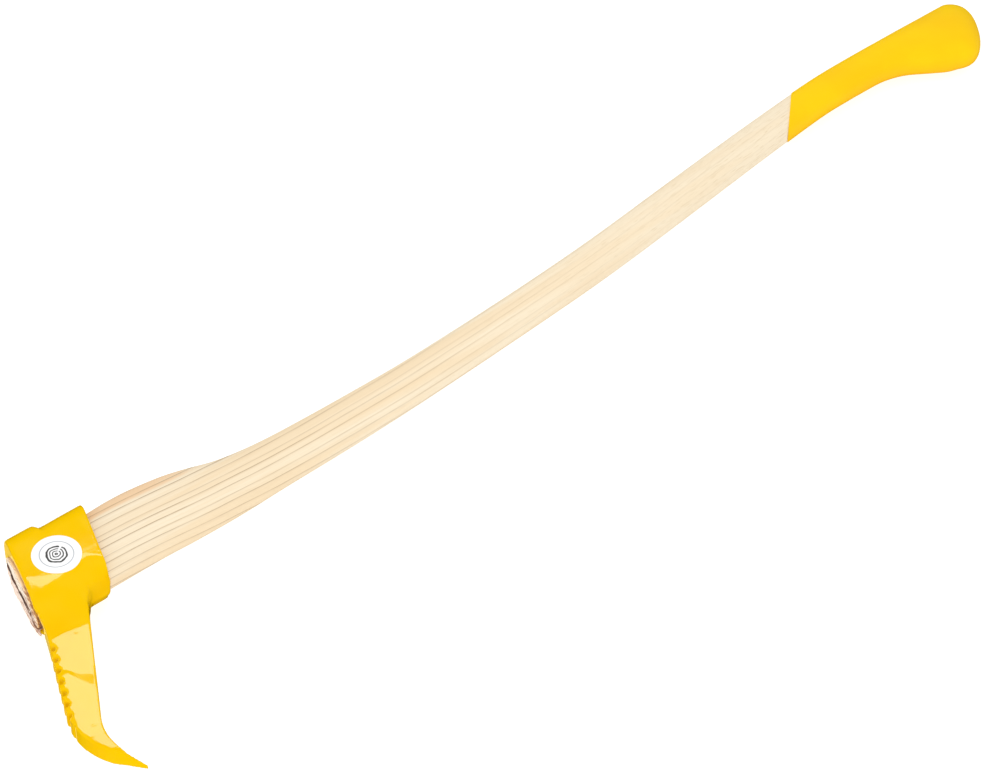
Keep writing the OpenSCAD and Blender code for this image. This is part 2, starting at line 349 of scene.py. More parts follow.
def makeGrainGroup():
    # straight-grained ring-porous wood: thin ring lines that follow the bow, streaks and open pores
    group, start, end = newGroup("ringPorousGrain", (
        ("Vector", "NodeSocketVector", None),
        ("Ring Width", "NodeSocketFloat", 0.0055),
        ("Line Share", "NodeSocketFloat", 0.14),
        ("Wander", "NodeSocketFloat", 0.0011),
    ), ("Lines", "Streaks", "Pores", "Across"))
    whole = start.outputs["Vector"]
    axes = split(group, whole)
    # the grain follows the bow of the handle
    bow = addNode(group, "ShaderNodeFloatCurve")
    curve = bow.mapping.curves[0]
    curve.points[0].location, curve.points[-1].location = (0, 0.5), (1, 1.0)
    for far, bend in grain["bow"]:
        curve.points.new(far, 0.5 + bend / grain["bowRange"])
    bow.mapping.update()
    joinTo(group, axes["X"], bow.inputs["Value"])
    offBow = multiply(group, subtract(group, bow.outputs["Value"], 0.5), grain["bowRange"])
    straight = subtract(group, axes["Y"], offBow)
    across = add(group, multiply(group, straight, math.cos(grain["tilt"])),
                 multiply(group, axes["Z"], math.sin(grain["tilt"])))
    wave = noiseOn(group, stretched(group, whole, grain["waves"]), 1.0, 3.0)
    wander = multiply(group, subtract(group, wave, 0.5), start.outputs["Wander"])
    turn = calculate(group, "DIVIDE", add(group, across, wander), start.outputs["Ring Width"])
    # every ring has a width and a strength of its own
    number = calculate(group, "FLOOR", turn)
    ownNoise = addNode(group, "ShaderNodeTexWhiteNoise", noise_dimensions="1D")
    joinTo(group, number, ownNoise.inputs["W"])
    own = ownNoise.outputs["Value"]
    inRing = calculate(group, "FRACT", turn)
    firstPlace, moves = grain["lineAt"]
    linePlace = add(group, multiply(group, own, moves), firstPlace)
    offPlace = calculate(group, "ABSOLUTE", subtract(group, inRing, linePlace))
    off = calculate(group, "DIVIDE", offPlace, start.outputs["Line Share"])
    sharp = spread(group, off, *grain["lineEdge"], 1, 0)
    # latewood shades into the line from one side
    before = subtract(group, linePlace, inRing)
    fading = spread(group, before, 0.0, grain["shadeWidth"], grain["shadeMost"], 0)
    shade = multiply(group, fading, calculate(group, "GREATER_THAN", before, 0.0))
    strength = spread(group, own, 0, 1, grain["weakest"], 1, "LINEAR")
    lines = multiply(group, calculate(group, "MAXIMUM", sharp, shade), strength)
    breaks = noiseOn(group, stretched(group, whole, grain["breaks"]), 1.0, 2.0)
    broken = spread(group, breaks, *grain["breaksFrom"], grain["brokenLeast"], 1)
    joinTo(group, multiply(group, lines, broken), end.inputs["Lines"])
    straightVector = addNode(group, "ShaderNodeCombineXYZ")
    for axis, value in (("X", axes["X"]), ("Y", straight), ("Z", axes["Z"])):
        joinTo(group, value, straightVector.inputs[axis])
    vector = straightVector.outputs["Vector"]
    fine = noiseOn(group, stretched(group, vector, grain["streaks"]), 1.0, 3.0, 0.6)
    joinTo(group, spread(group, fine, *grain["streaksFrom"], 0, 1), end.inputs["Streaks"])
    pores = noiseOn(group, stretched(group, vector, grain["pores"]), 1.0, 1.0)
    joinTo(group, spread(group, pores, *grain["poresFrom"], 0, 1), end.inputs["Pores"])
    joinTo(group, across, end.inputs["Across"])
    return group


thickCoat = makeCoatGroup()
rubbedEdges = makeWearGroup()
ringPorousGrain = makeGrainGroup()
print("shared effects made")


# head: forged steel under thick yellow enamel

head = {
    "color": rgb(252, 201, 2), "warm": rgb(253, 196, 3), "pale": rgb(252, 204, 4), "paintedShade": rgb(226, 160, 14),
    "cloudsFrom": (0.4, 0.62), "warmMost": 0.8, "paleMost": 0.5, "wornFrom": (0.2, 0.9), "wornMost": 0.4,
    # the enamel is coloured darker in the notches as painted shade: how hidden a point is there, and where they
    # begin
    "paintedShadeFrom": (0.15, 0.75), "notchesAt": (-0.064, -0.056),
    "roughness": (0.07, 0.12), "ripple": 48.0, "peel": 850.0, "breakup": 260.0, "bump": (0.1, 0.0003),
    # painted reflection of the white room, glowing where the surface is seen along it, but not on the side that
    # the handle shades
    "sheen": rgb(255, 226, 120), "sheenFrom": (0.74, 0.90), "sheenMost": 0.7, "shadedFrom": (-0.15, 0.1),

    "voxel": 0.00085, "rounds": 4, "tipFrom": -0.188, "recessReach": 0.006,
    "edgeRounds": 4, "notchesBelow": -0.060,  # more rounding, but not on the notches
    "neckRounds": 24, "neck": ((-0.006, -0.054), (0.022, -0.033)),  # where the pick grows out of the boss
    "padRounds": 14, "pad": ((-0.006, 0.034), (0.018, 0.060)),
    "waves": ((34.0, 0.00010), (95.0, 0.00003)),  # waves per metre and their height
    "facing": (0.2, 0.8),  # how far a face is turned up or down before it is shaped, and is in full
    # the crease on the cheek, as x, y and radius: broad and high at the outer face, tight at the handle
    "crease": ((-0.040, -0.0103, 0.100), (-0.0335, -0.0135, 0.098), (-0.0296, -0.0163, 0.096),
               (-0.0235, -0.0177, 0.060), (-0.0170, -0.0180, 0.041), (-0.0125, -0.0184, 0.034),
               (-0.008, -0.0172, 0.031), (0.010, -0.0138, 0.030), (0.0175, -0.0144, 0.021),
               (0.024, -0.0195, 0.006), (0.030, -0.0260, 0.004)),
    "plainCrease": (-0.014, 0.035), "slope": math.radians(14.6),
    "creaseFade": (-0.060, -0.020), "creaseTo": 0.015, "creaseAbove": 0.03, "creaseFacing": (0.1, 0.7),
    # the pick's back, and how the cheeks roll off along it
    "back": ((-0.0344, -0.0245), (-0.0764, -0.1202), (-0.0799, -0.1308), (-0.0814, -0.1422),
             (-0.0807, -0.1537), (-0.0778, -0.1648), (-0.0725, -0.1757), (-0.0570, -0.2010)),
    "rollWidth": 0.0052, "rollDepth": 0.0008, "rollFrom": (0.054, 0.070), "rollTo": (0.132, 0.146),
    # a hammered swell across the pick: distance from the back, and where along the pick it rises and has risen
    "swell": ((0.0077, 0.0906, 0.0949), (0.0170, 0.1010, 0.1079), (0.0285, 0.1075, 0.1215)),
    "swellSlope": math.tan(math.radians(3.8)), "swellFade": 0.034, "swellFacing": 0.5,
    # where the neck's slope runs out into the pick, and how much lower on the handle's side
    "neckEnd": -0.0601, "neckBlend": 0.0024, "neckLow": ((-0.050, 0.0), (-0.036, 0.0006), (-0.010, 0.0045)),
    "neckFrom": (0.030, 0.056), "neckBetween": (-0.09, -0.03),
    # the boss's outer and rear faces: x in the middle and lean, and where their edges are moved
    "outerFace": (-0.0335, 0.2792), "rearFace": (0.0335, 0.3249),
    "cornersFrom": -0.06, "cornerUpper": (0.018, 0.034), "cornerWidth": (0.004, 0.020),
    # the upper edge of the outer face runs on into the pick: y and how far it stands out
    "toe": ((-0.054, 0), (-0.047, 0.0008), (-0.041, 0.0019), (-0.036, 0.0030), (-0.0325, 0.0034),
            (-0.029, 0.0022), (-0.025, 0.0006), (-0.020, 0)),
    # its lower edge is rubbed back
    "toeLow": ((-0.036, 0), (-0.031, 0.0012), (-0.0255, 0.0018), (-0.020, 0.0012), (-0.012, 0)),
    "toeLowFrom": (0.005, 0.013),
    # the upper edge of the rear face is drawn out, and stands out at half height too
    "heel": ((-0.0370, 0.0008), (-0.034, 0.0016), (-0.028, 0.0022), (-0.014, 0.0018), (0.010, 0.0020),
             (0.030, 0.0020), (0.041, 0.0012)),
    "heelMiddle": ((-0.040, 0.0022), (-0.0355, 0.0020), (-0.031, 0.0004), (-0.028, 0)),
    "heelMiddleAt": ((0.010, 0.016), (0.028, 0.036)),
    # how far the lower side of the nose is set back towards the eye
    "noseBack": 0.0016, "noseBackFrom": (0.028, 0.034), "noseBackBelow": (0.012, 0.020),
    "noseBackEdge": (-0.002, 0.006),
    # the upper side of the nose is tighter than the lower: height of the middle, place of its profile and radius
    "cheekTop": 0.045, "noseMiddle": 0.0225, "noseAt": 0.014, "noseRadius": 0.006, "noseReach": 0.004,
    "profileSteps": 60, "profileStep": 0.00025, "profileStart": 0.0003, "castFrom": (-0.08, 0.06),
    # the fillet from the boss to the pick's inner edge
    "innerEdge": (0.0232, 0.5756), "filletFrom": -0.02, "filletWidth": (0.010, 0.012),
    "fillet": ((-0.053, 0), (-0.047, 0.0004), (-0.043, 0.0012), (-0.0385, 0.0032), (-0.036, 0)),
    # voxels blunt the point, so it is drawn out again
    "pointAt": (0.187, 0.1982), "pointShift": Vector((0.0014, -0.0026, 0)),
    # small dents of the forging: from, to, half width and depth
    "dents": (
        {"from": (-0.0710, -0.1480), "to": (-0.0680, -0.1490), "width": 0.0009, "depth": 0.00022},
        {"from": (-0.0800, -0.1572), "to": (-0.0762, -0.1580), "width": 0.0011, "depth": 0.00028},
        {"from": (-0.0735, -0.1560), "to": (-0.0722, -0.1568), "width": 0.0008, "depth": 0.0002},
        {"from": (-0.0290, -0.0640), "to": (-0.0280, -0.0660), "width": 0.0009, "depth": 0.0002},
        {"from": (-0.0180, -0.0745), "to": (-0.0172, -0.0790), "width": 0.0009, "depth": 0.00018},
    ),
    "dentReach": 0.02, "dentFacing": 0.5,
}


def makeEnamel():
    material, tree, shader, where = newMaterial("headEnamel", IOR=1.5, Coat_Weight=0.3, Coat_Roughness=0.05,
                                                Emission_Strength=1.0)
    coat = placeGroup(tree, thickCoat, where, Ripple=head["ripple"], Peel=head["peel"])
    wear = placeGroup(tree, rubbedEdges, where, Breakup=head["breakup"])
    clouds = spread(tree, noiseOn(tree, where, 26.0, 1.0), *head["cloudsFrom"], 0, head["warmMost"])
    color = mixColors(tree, clouds, head["color"], head["warm"])
    color = mixColors(tree, multiply(tree, coat["Mottle"], head["paleMost"]), color, head["pale"])
    worn = spread(tree, wear["Wear"], *head["wornFrom"], 0, head["wornMost"])
    color = mixColors(tree, worn, color, head["warm"])
    # painted shade: points hidden in the notches are coloured darker
    paintedShade = spread(tree, onMesh(tree, "recess"), *head["paintedShadeFrom"], 0, 1)
    inNotches = spread(tree, split(tree, where)["Y"], *head["notchesAt"], 1, 0)
    color = mixColors(tree, multiply(tree, paintedShade, inNotches), color, head["paintedShade"])
    joinTo(tree, color, shader.inputs["Base Color"])
    # painted reflection: seen along the surface, the enamel glows with the white room
    facing = addNode(tree, "ShaderNodeLayerWeight", {"Blend": 0.5})
    sheen = spread(tree, facing.outputs["Facing"], *head["sheenFrom"], 0, head["sheenMost"])
    # but not on the side of the handle, which the handle shades
    normal = split(tree, where.node.outputs["Normal"])
    sheen = multiply(tree, sheen, spread(tree, normal["X"], *head["shadedFrom"], 1, 0))
    joinTo(tree, mixColors(tree, sheen, (0, 0, 0, 1), head["sheen"]), shader.inputs["Emission Color"])
    joinTo(tree, spread(tree, coat["Mottle"], 0, 1, *head["roughness"], "LINEAR"), shader.inputs["Roughness"])
    bumped(tree, shader, coat["Height"], *head["bump"])
    return material


def creaseDrop(y, middle, radius):
    # how far the cheek and its slope lie below the flat, with a rounded crease between them
    slope = head["slope"]
    start = middle + radius * math.tan(slope / 2)
    if y >= start:
        return 0.0
    if y <= start - radius * math.sin(slope):
        return (middle - y) * math.tan(slope)
    return radius - math.sqrt(radius ** 2 - (start - y) ** 2)


def shapeCrease(bm):
    for vert in bm.verts:
        up, y = vert.normal.z, vert.co.y
        if up > head["creaseFacing"][0] and y < head["creaseTo"] and vert.co.z > head["creaseAbove"]:
            middle, radius = along(head["crease"], vert.co.x)
            shift = creaseDrop(y, *head["plainCrease"]) - creaseDrop(y, middle, radius)
            vert.co.z += shift * smooth(up, *head["creaseFacing"]) * smooth(y, *head["creaseFade"])
    bm.normal_update()


def shapePick(bm):
    reach, depth = head["rollWidth"], head["rollDepth"]
    for vert in bm.verts:
        down, flatness = -vert.co.y, abs(vert.normal.z)
        if down < head["rollFrom"][0] or flatness < head["facing"][0]:
            continue
        inward = offLine(vert.co, head["back"])
        if inward < reach:
            ease = smooth(down, *head["rollFrom"]) * (1 - smooth(down, *head["rollTo"]))
            roll = depth * (1 - inward / reach) ** 2 * ease * smooth(flatness, *head["facing"])
            vert.co.z -= math.copysign(roll, vert.normal.z)
        if vert.normal.z > head["swellFacing"]:
            rise, risen = along(head["swell"], inward)
            share = min(max((down - rise) / (risen - rise), 0), 1)
            height = head["swellSlope"] * (risen - rise) * share
            vert.co.z += height * (1 - smooth(down, risen, risen + head["swellFade"]))
    bm.normal_update()


def aboveFlat(y):
    # height of the neck's slope over the pick's flat, rounded where the two meet
    reach = head["neckBlend"]
    off = y - head["neckEnd"]
    share = min(max((off + reach) / (2 * reach), 0), 1)
    return math.tan(head["slope"]) * (max(off - reach, 0) + reach * share * share)


def shapeNeck(bm):
    # the neck runs further down the pick on the handle's side than on the outside
    low, high = head["neckBetween"]
    for vert in bm.verts:
        y, up = vert.co.y, vert.normal.z
        if up > head["facing"][0] and low < y < high:
            lower, = along(head["neckLow"], vert.co.x)
            shift = lower * smooth(-y, *head["neckFrom"])
            vert.co.z += (aboveFlat(y + shift) - aboveFlat(y)) * smooth(up, *head["facing"])
    bm.normal_update()


def behindEdge(co):
    # how far a point lies behind the inner edge of the pick and the nose
    start, lean = head["innerEdge"]
    return start + lean * co.y - co.x


def shapeNose(bm):
    # lifts the upper side of the nose from the round it was cast with to a tighter one
    surface = BVHTree.FromBMesh(bm)
    middle, radius, slope = head["noseMiddle"], head["noseRadius"], head["slope"]
    outside, above = head["castFrom"]
    tip = surface.ray_cast(Vector((head["noseAt"], outside, middle)), Vector((0, 1, 0)))[0].y

    def plain(y):
        return head["cheekTop"] - creaseDrop(y, *head["plainCrease"])

    center = tip + radius
    centerTop = plain(center) - radius / math.cos(slope)
    profile = []  # y, the height it was cast with and the height it gets
    for k in range(head["profileSteps"]):
        y = tip + head["profileStart"] + k * head["profileStep"]
        cast = surface.ray_cast(Vector((head["noseAt"], y, above)), Vector((0, 0, -1)))[0].z
        wanted = plain(y)
        if y < center - radius * math.sin(slope):
            wanted = centerTop + math.sqrt(radius ** 2 - (y - center) ** 2)
        profile.append((y, cast, max(wanted, cast)))
    before, after = tip - 0.001, profile[-1][0]
    for vert in bm.verts:
        if vert.co.z > middle and before < vert.co.y < after and behindEdge(vert.co) < head["noseReach"]:
            cast, wanted = along(profile, vert.co.y)
            lifted = middle + (vert.co.z - middle) * (wanted - middle) / (cast - middle)
            vert.co.z = max(vert.co.z, min(lifted, wanted))
    bm.normal_update()


def shapeFillet(bm):
    # fills the inner corner between the boss and the pick
    behind, before = head["filletWidth"]
    low, high = head["fillet"][0][0], head["fillet"][-1][0]
    for vert in bm.verts:
        if low < vert.co.y < high and vert.co.x > head["filletFrom"]:
            inward = behindEdge(vert.co)
            out, = along(head["fillet"], vert.co.y)
            vert.co.x += out * (1 - smooth(inward, 0, behind)) * smooth(inward, -before, 0)
    bm.normal_update()


def pushCorners(vert):
    # moves the edges of the boss's outer and rear faces by their tables, each at its own heights
    (low, lowEnd), (high, highEnd) = head["heelMiddleAt"]
    upper = smooth(vert.co.z, *head["cornerUpper"])
    lower = 1 - smooth(vert.co.z, *head["toeLowFrom"])
    middle = smooth(vert.co.z, low, lowEnd) * (1 - smooth(vert.co.z, high, highEnd))
    for face, side, pushes in (("outerFace", -1, (("toe", -upper), ("toeLow", lower))),
                               ("rearFace", 1, (("heel", upper), ("heelMiddle", middle)))):
        plane, tilt = head[face]
        inward = (plane + tilt * vert.co.y - vert.co.x) * side
        edge = 1 - smooth(inward, *head["cornerWidth"])
        for table, level in pushes:
            vert.co.x += along(head[table], vert.co.y)[0] * level * edge


def shapeCorners(bm):
    for vert in bm.verts:
        if vert.co.y > head["cornersFrom"]:
            pushCorners(vert)
            onNose = 1 - smooth(behindEdge(vert.co), *head["noseBackEdge"])
            low = 1 - smooth(vert.co.z, *head["noseBackBelow"])
            vert.co.y += head["noseBack"] * smooth(-vert.co.y, *head["noseBackFrom"]) * low * onNose
        vert.co += head["pointShift"] * smooth(-vert.co.y, *head["pointAt"])
    bm.normal_update()


def dent(bm, mark):
    start, end = Vector(mark["from"]), Vector(mark["to"])
    for vert in bm.verts:
        if vert.normal.z > head["dentFacing"] and (vert.co.xy - start).length < head["dentReach"]:
            off = offLine(vert.co, (start, end))
            if off < mark["width"]:
                vert.co.z -= mark["depth"] * (0.5 + 0.5 * math.cos(math.pi * off / mark["width"]))


def makeHead():
    bm = castAgain(solidCopy("head"), head["voxel"])
    soften(bm, head["rounds"], lambda co: co.y > head["tipFrom"])
    soften(bm, head["edgeRounds"], lambda co: co.y > head["notchesBelow"])
    shapeNose(bm)
    shapeFillet(bm)
    for part in ("neck", "pad"):
        (x0, y0), (x1, y1) = head[part]
        soften(bm, head[part + "Rounds"], lambda co: x0 < co.x < x1 and y0 < co.y < y1)
    for perMetre, height in head["waves"]:
        for vert in bm.verts:
            vert.co += vert.normal * (noise.noise(vert.co * perMetre) * height)
    shapeCorners(bm)
    shapeCrease(bm)
    shapeNeck(bm)
    shapePick(bm)
    for mark in head["dents"]:
        dent(bm, mark)
    bm.normal_update()
    markRecess(bm, head["recessReach"])
    print("head:", len(bm.faces), "faces")
    surface = BVHTree.FromBMesh(bm)
    piece = newPiece("paintedHead", bm, makeEnamel())
    place(piece, "head_paint", "head")
    return surface


headSurface = makeHead()  # the label is laid on it
print("head made")


# handle: pale ash

ash = {
    "pale": rgb(249, 233, 204), "warm": rgb(246, 223, 186), "streak": rgb(238, 212, 172),
    "line": rgb(168, 140, 102), "pore": rgb(222, 198, 156), "bump": (0.3, 0.0002),
    "broad": (3, 70, 70), "broadFrom": (0.38, 0.62), "streakMost": 0.35,
    # the wood is plainer towards the grip: between which places, and how strong at each
    "lineFade": (0.05, 0.62, 0.9, 0.16), "poreFade": (0.25, 0.75, 0.1, 0.55),
    "livelyFade": (0.25, 0.75, 1.0, 0.35),
    # the heartwood ends in tongues along the grain
    "heart": rgb(246, 208, 164), "heartFrom": (0.0375, 0.0405), "heartMost": 0.9,
    "heartReach": (0.108, 0.152), "tongues": 0.035,
    "knot": rgb(176, 136, 84), "pinKnot": (0.6658, 0.0025, 0.0362), "knotEdge": (0.0006, 0.0017), "knotMost": 0.9,
    # the sawn end: pale lips with brown fibres, more of them towards the lower end
    "end": rgb(255, 240, 218), "endLow": rgb(252, 228, 210), "upperLip": (0.019, 0.026), "endDepth": 0.004,
    "endLine": rgb(186, 132, 100), "fibresFrom": (0.5, 0.66), "fibresMost": 0.85,
    "fibresMore": (-0.03, 0.02, 0.1, -0.06), "endBump": (0.4, 0.0006),
    # painted shade: a deeper tint along the outline of the upper lip, beside the enamel
    "rim": rgb(255, 226, 188), "rimShadeFrom": (0.88, 1.0),
    # crushed dark fibres beside the saw cut: how wide they are and become, and how they fade at the tip
    "stain": rgb(112, 78, 64), "stainRagged": 1.6, "stainFrom": (0.45, 0.7), "halfCut": 0.0033,
    "stainWidth": 0.0012, "stainWider": 0.0066, "widerFrom": (-0.008, 0.004),
    "tipFade": 0.85, "tipFrom": (0.022, 0.030),
}


def makeAshWood():
    material, tree, shader, where = newMaterial("ashWood", Roughness=0.55, IOR=1.45)
    rings = placeGroup(tree, ringPorousGrain, where)
    far = split(tree, where)["X"]
    lines = multiply(tree, rings["Lines"], spread(tree, far, *ash["lineFade"]))
    pores = multiply(tree, rings["Pores"], spread(tree, far, *ash["poreFade"]))
    lively = spread(tree, far, *ash["livelyFade"])
    broad = noiseOn(tree, stretched(tree, where, ash["broad"]), 1.0, 2.0)
    warm = multiply(tree, spread(tree, broad, *ash["broadFrom"], 0, 1), lively)
    color = mixColors(tree, warm, ash["pale"], ash["warm"])
    streaks = multiply(tree, multiply(tree, rings["Streaks"], ash["streakMost"]), lively)
    color = mixColors(tree, streaks, color, ash["streak"])
    tongues = add(tree, far, multiply(tree, subtract(tree, rings["Streaks"], 0.5), ash["tongues"]))
    heart = multiply(tree, spread(tree, rings["Across"], *ash["heartFrom"], 0, ash["heartMost"]),
                     spread(tree, tongues, *ash["heartReach"], 1, 0))
    color = mixColors(tree, heart, color, ash["heart"])
    color = mixColors(tree, lines, color, ash["line"])
    color = mixColors(tree, pores, color, ash["pore"])
    knotOff = addNode(tree, "ShaderNodeVectorMath", {1: ash["pinKnot"]}, operation="DISTANCE")
    joinTo(tree, where, knotOff.inputs[0])
    knot = spread(tree, knotOff.outputs["Value"], *ash["knotEdge"], ash["knotMost"], 0)
    joinTo(tree, mixColors(tree, knot, color, ash["knot"]), shader.inputs["Base Color"])
    bumped(tree, shader, multiply(tree, add(tree, lines, pores), -1.0), *ash["bump"])
    return material


def makeAshEnd():
    material, tree, shader, where = newMaterial("ashEndGrain", Roughness=0.7, IOR=1.45)
    axes = split(tree, where)
    blotch = noiseOn(tree, stretched(tree, where, (1, 0.45, 1)), 300.0, 3.0, 0.65)
    fibres = noiseOn(tree, stretched(tree, where, (1, 0.16, 1)), 700.0, 2.0, 0.6)
    upper = spread(tree, axes["Z"], *ash["upperLip"], 0, 1)
    color = mixColors(tree, upper, ash["endLow"], ash["end"])
    # painted shade along the outline of the upper lip
    color = mixColors(tree, multiply(tree, onMesh(tree, "rim"), upper), color, ash["rim"])
    brown = add(tree, fibres, spread(tree, axes["Y"], *ash["fibresMore"]))
    brown = spread(tree, brown, *ash["fibresFrom"], 0, ash["fibresMost"])
    color = mixColors(tree, brown, color, ash["endLine"])
    uneven = multiply(tree, subtract(tree, blotch, 0.5), ash["stainRagged"])
    crushed = spread(tree, add(tree, onMesh(tree, "stain"), uneven), *ash["stainFrom"], 0, 1)
    joinTo(tree, mixColors(tree, crushed, color, ash["stain"]), shader.inputs["Base Color"])
    bumped(tree, shader, add(tree, blotch, fibres), *ash["endBump"])
    return material


# the handle's end and both wedges were sawn off together
sawnEnd = {
    "middle": 0.0225, "half": (0.0349, 0.0169), "power": 2.3, "depth": 0.005,
    # cuts that make its small faces: depths of the rings, step of the grid and where it reaches
    "rings": (0.0006, 0.0013, 0.0022, 0.004), "grid": 0.0014, "gridY": (-0.035, 0.035), "gridZ": (0.004, 0.041),
    # torn fibres: how far they stand out and how deep that reaches; waves per metre in y and z, slice and share
    "ragged": 0.0009, "raggedTo": 0.0023, "fibres": ((160, 420, 3.0, 1.0), (520, 700, 7.0, 0.6)),
    # the rim is driven outwards, unevenly and most at the lower end
    "splay": 0.0019, "splayFrom": (0.72, 1.0), "splayTo": (0.0008, 0.003), "splayUneven": (0.8, 0.5, 90),
    "splayLow": 1.9, "lowFrom": (0.024, 0.034),
    # how far the lower and the upper lip stand out or are broken back, at heights across the handle
    "lips": ((-0.035, -0.0018, 0.0008), (-0.030, -0.0018, 0.0004), (-0.022, -0.0017, -0.0004),
             (-0.013, -0.0014, 0.0), (0.002, -0.0011, 0.0004), (0.010, -0.0006, 0.0002),
             (0.020, 0.0002, 0.0002), (0.027, -0.0002, -0.0002), (0.033, -0.0006, -0.0008)),
    "lipsMeet": (-0.003, 0.003),
}


def endFaces(bm):
    return [f for f in bm.faces if f.normal.x < -0.9 and f.calc_center_median().x < -0.02]


def sawOff(bm):
    # cuts the end that shows in the eye into small faces, and returns how it faces and lies
    bm.normal_update()
    cap = endFaces(bm)
    facing = cap[0].normal.copy()
    level = max(facing.dot(v.co) for f in cap for v in f.verts)
    for depth in sawnEnd["rings"]:
        bmesh.ops.bisect_plane(bm, geom=bm.verts[:] + bm.edges[:] + bm.faces[:], dist=1e-6,
                               plane_co=facing * (level - depth), plane_no=facing)
    cap = endFaces(bm)
    geom = cap + list({e for f in cap for e in f.edges}) + list({v for f in cap for v in f.verts})
    step = sawnEnd["grid"]
    for way, (low, high) in ((Vector((0, 1, 0)), sawnEnd["gridY"]), (Vector((0, 0, 1)), sawnEnd["gridZ"])):
        for k in range(int((high - low) / step)):
            cut = bmesh.ops.bisect_plane(bm, geom=geom, dist=1e-6,
                                         plane_co=way * (low + (k + 0.5) * step), plane_no=way)
            geom = cut["geom"]
    bm.normal_update()
    return facing, level


def offOval(co):
    # 0 in the middle of the end and 1 on its outline
    halfY, halfZ = sawnEnd["half"]
    y, z = abs(co.y) / halfY, abs(co.z - sawnEnd["middle"]) / halfZ
    return (y ** sawnEnd["power"] + z ** sawnEnd["power"]) ** (1 / sawnEnd["power"])


def batterEnd(bm, facing, level, proud=0.0, splays=True):
    # drives the end about as an axe head's seat does: split lips, bulges and torn fibres
    halfY, halfZ = sawnEnd["half"]
    least, uneven, perMetre = sawnEnd["splayUneven"]
    for vert in bm.verts:
        depth = level - facing.dot(vert.co)
        if depth > sawnEnd["depth"]:
            continue
        y, z = vert.co.y, vert.co.z - sawnEnd["middle"]
        rim = smooth(offOval(vert.co), *sawnEnd["splayFrom"])
        lower, upper = along(sawnEnd["lips"], y)
        out = lower + (upper - lower) * smooth(z, *sawnEnd["lipsMeet"])
        torn = 0
        for waveY, waveZ, layer, part in sawnEnd["fibres"]:
            torn += part * noise.noise(Vector((y * waveY, z * waveZ, layer)))
        share = 1 - smooth(depth, 0.0, sawnEnd["raggedTo"])
        vert.co += facing * ((out + proud + torn * sawnEnd["ragged"]) * share)
        if splays:
            outward = Vector((0, y / halfY, z / halfZ)).normalized()
            wide = least + uneven * noise.noise(Vector((y * perMetre, z * perMetre, 1.0)))
            wide += sawnEnd["splayLow"] * smooth(-y, *sawnEnd["lowFrom"])
            vert.co += outward * (sawnEnd["splay"] * wide * rim * (1 - smooth(depth, *sawnEnd["splayTo"])))


def makeHandle():
    bm = foursidedCopy("handle")
    facing, level = sawOff(bm)
    keepEdges(bm)
    stain = bm.verts.layers.float.new("stain")
    rim = bm.verts.layers.float.new("rim")
    for face in bm.faces:
        if level - facing.dot(face.calc_center_median()) < ash["endDepth"]:
            face.material_index = 1
    for vert in bm.verts:
        offCut = abs(vert.co.z - sawnEnd["middle"]) - ash["halfCut"]
        width = ash["stainWidth"] + ash["stainWider"] * smooth(-vert.co.y, *ash["widerFrom"])
        tip = ash["tipFade"] * smooth(-vert.co.y, *ash["tipFrom"])
        vert[stain] = (1 - smooth(offCut, 0.0, width)) * (1 - tip)
        vert[rim] = smooth(offOval(vert.co), *ash["rimShadeFrom"])
    batterEnd(bm, facing, level)
    piece = newPiece("ashHandle", bm, makeAshWood(), makeAshEnd())
    subdivided(piece)
    place(piece, "handle_wood", "handle")


makeHandle()
print("handle made")


# wedges in the eye

wedges = {
    "dark": rgb(80, 54, 44), "light": rgb(168, 116, 88), "blotchFrom": (0.46, 0.66), "woodProud": 0.0001,
    # the wood is crushed paler towards its lower end
    "crushed": rgb(186, 142, 120), "crushedFrom": (-0.022, -0.004), "crushedMost": 0.7,
    "steel": rgb(116, 108, 92), "rust": rgb(112, 74, 48), "rustFrom": (0.3, 0.9), "steelProud": 0.0004,
    "ripple": 500.0, "peel": 2400.0,
}


def makeWedgeWood():
    material, tree, shader, where = newMaterial("wedgeWood", Roughness=0.8)
    blotch = noiseOn(tree, stretched(tree, where, (1, 0.3, 1)), 480.0, 3.0, 0.65)
    color = mixColors(tree, spread(tree, blotch, *wedges["blotchFrom"], 0, 1), wedges["dark"], wedges["light"])
    crushed = spread(tree, split(tree, where)["Y"], *wedges["crushedFrom"], wedges["crushedMost"], 0)
    joinTo(tree, mixColors(tree, crushed, color, wedges["crushed"]), shader.inputs["Base Color"])
    bumped(tree, shader, blotch, 0.8, 0.001)
    return material


def makeWedgeSteel():
    material, tree, shader, where = newMaterial("wedgeSteel", Roughness=0.45, Metallic=0.9)
    coat = placeGroup(tree, thickCoat, where, Ripple=wedges["ripple"], Peel=wedges["peel"])
    rust = spread(tree, coat["Mottle"], *wedges["rustFrom"], 0, 1)
    joinTo(tree, mixColors(tree, rust, wedges["steel"], wedges["rust"]), shader.inputs["Base Color"])
    joinTo(tree, spread(tree, rust, 0, 1, 0.6, 0.1, "LINEAR"), shader.inputs["Metallic"])
    bumped(tree, shader, coat["Height"], 0.7, 0.0006)
    return material


def makeWedge(name, node, slot, material, proud):
    bm = solidCopy(node)
    bmesh.ops.dissolve_limit(bm, angle_limit=0.02, verts=bm.verts, edges=bm.edges)
    facing, level = sawOff(bm)
    batterEnd(bm, facing, level, proud, False)
    place(newPiece(name, bm, material), slot, node)


makeWedge("woodenWedge", "eye_wedge", "wedge_wood", makeWedgeWood(), wedges["woodProud"])
makeWedge("steelWedge", "steel_wedge", "wedge_steel", makeWedgeSteel(), wedges["steelProud"])
print("wedges made")


# grip: dipped lacquer

lacquer = {
    "color": rgb(254, 209, 8), "deep": rgb(253, 202, 6),
    # painted shade: the coat is coloured deeper underneath
    "low": rgb(250, 188, 3), "paintedShadeAt": (0.010, 0.032),
    "roughness": (0.34, 0.44), "ripple": 24.0, "peel": 700.0, "bump": (0.25, 0.0006),
}


